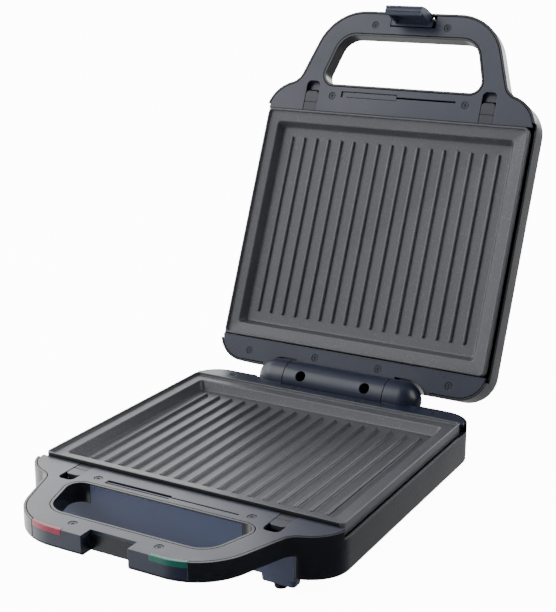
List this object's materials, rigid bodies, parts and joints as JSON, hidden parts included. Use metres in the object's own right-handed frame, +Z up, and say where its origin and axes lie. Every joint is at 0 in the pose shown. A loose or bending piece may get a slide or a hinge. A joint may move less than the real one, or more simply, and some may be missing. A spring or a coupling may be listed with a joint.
{
  "type": "panini press",
  "caption": "Contact grill with hinged halves, ribbed non-stick plates, looped handles, a swinging latch and sliding plate release clips, shown open.",
  "frame": {"origin": "bottom centre of the open press's bounding box, on the table", "axes": "+Z up, +X to the right seen from the front, +Y from the lower handle back to the hinge and the open lid"},
  "size_m": [0.243, 0.4598, 0.3385],
  "materials": {
    "cover": "gloss black moulding with rounded edges",
    "slate": "satin slate moulding",
    "nonstick_plate": "die-cast aluminium with dark non-stick coating",
    "latch": "satin dark moulding",
    "heater": "oxidised sheath",
    "reflector": "pressed bright sheet",
    "steel": "zinc-plated",
    "sleeve": "pale insulating moulding",
    "dark_plastic": "matt black",
    "red_lens": "clear red moulding",
    "green_lens": "clear green moulding",
    "lamp_glass": "neon lamp envelope",
    "rubber": "matt black"
  },
  "bodies": {
    "base": {"base_cover": "cover", "base_bezel": "slate", "base_bottom": "slate", "base_plate": "nonstick_plate", "base_heating_element": "heater", "base_reflector": "reflector", "base_element_clamps": "reflector", "thermostat": "steel", "thermal_fuse": "sleeve", "red_lens": "red_lens", "green_lens": "green_lens", "indicator_lamps": "lamp_glass", "rubber_feet": "rubber", "terminal_block": "sleeve", "cord_inlet": "dark_plastic", "hinge_pins": "steel", "base_bezel_screws": "steel", "bottom_screws": "steel", "base_clip_spring_left": "steel", "base_clip_spring_right": "steel"},
    "lid": {"lid_cover": "cover", "lid_bezel": "slate", "lid_plate": "nonstick_plate", "latch_pin": "steel", "lid_heating_element": "heater", "lid_reflector": "reflector", "lid_element_clamps": "reflector", "lid_bezel_screws": "steel", "barrel_screws": "steel", "lid_clip_spring_left": "steel", "lid_clip_spring_right": "steel", "latch_spring": "steel"},
    "base_clip_left": {"base_clip_left": "slate"},
    "base_clip_right": {"base_clip_right": "slate"},
    "lid_clip_left": {"lid_clip_left": "slate"},
    "lid_clip_right": {"lid_clip_right": "slate"},
    "latch": {"latch": "latch"}
  },
  "joints": [
    {"name": "lid_hinge", "type": "hinge", "parent": "base", "child": "lid", "pos_m": [0, 0.089, 0.0396], "axis": [1, 0, 0], "range_deg": [0, 112.8]},
    {"name": "base_clip_left_slide", "type": "slide", "parent": "base", "child": "base_clip_left", "axis": [0, -1, 0], "range_m": [0, 0.0045], "stiffness_N_per_m": 400, "springref_m": -0.002, "deforming": ["base_clip_spring_left"]},
    {"name": "base_clip_right_slide", "type": "slide", "parent": "base", "child": "base_clip_right", "axis": [0, -1, 0], "range_m": [0, 0.0045], "stiffness_N_per_m": 400, "springref_m": -0.002, "deforming": ["base_clip_spring_right"]},
    {"name": "lid_clip_left_slide", "type": "slide", "parent": "lid", "child": "lid_clip_left", "axis": [0, 0.3875, 0.9219], "range_m": [0, 0.0045], "stiffness_N_per_m": 400, "springref_m": -0.002, "deforming": ["lid_clip_spring_left"]},
    {"name": "lid_clip_right_slide", "type": "slide", "parent": "lid", "child": "lid_clip_right", "axis": [0, 0.3875, 0.9219], "range_m": [0, 0.0045], "stiffness_N_per_m": 400, "springref_m": -0.002, "deforming": ["lid_clip_spring_right"]},
    {"name": "latch_swing", "type": "hinge", "parent": "lid", "child": "latch", "pos_m": [0, 0.22044, 0.32312], "axis": [-1, 0, 0], "range_deg": [-6, 25], "stiffness_Nm_per_rad": 0.08}
  ]
}
